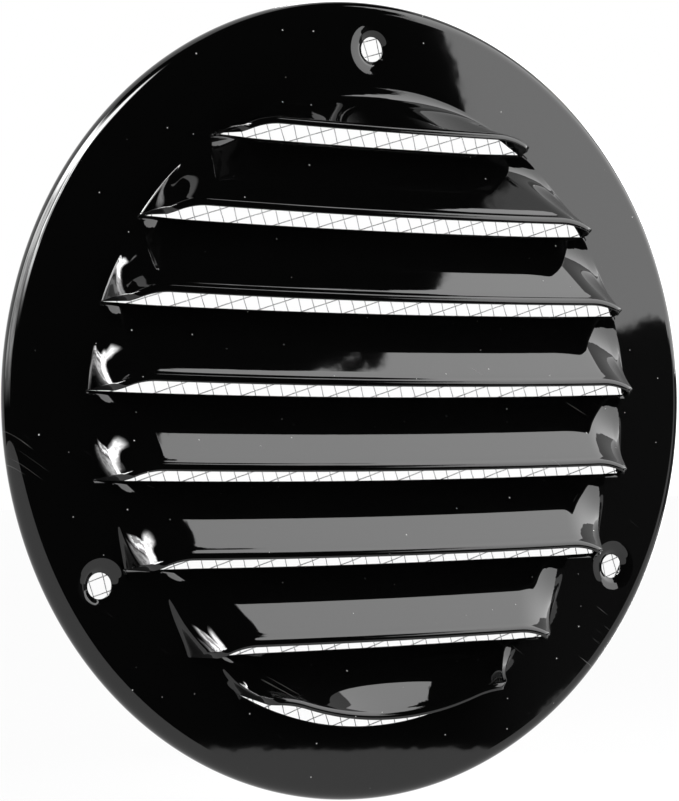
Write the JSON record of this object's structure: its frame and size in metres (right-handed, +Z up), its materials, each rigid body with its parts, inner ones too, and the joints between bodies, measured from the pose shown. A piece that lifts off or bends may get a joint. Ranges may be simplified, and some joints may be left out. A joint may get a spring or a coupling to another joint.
{
  "type": "soffit vent cover",
  "caption": "Round pressed-steel vent cover in gloss black: hooded louvres open downwards over a woven insect screen, inside a flat flange with a rolled rim and dimpled screw holes.",
  "frame": {"origin": "centre of the disc on the wall plane, which is the back of the rolled rim's hem", "axes": "+Y into the wall, so the front looks along -Y; +Z up, with the louvres open downwards; +X to the right as seen from the front"},
  "size_m": [0.16, 0.0122, 0.16],
  "materials": {
    "black_enamel": "high-gloss black enamel on pressed steel, with a few dust specks and fine scratches",
    "galvanised_wire": "dull galvanised woven wire"
  },
  "bodies": {
    "root": {"louvre_cover": "black_enamel", "insect_screen": "galvanised_wire"}
  },
  "joints": []
}
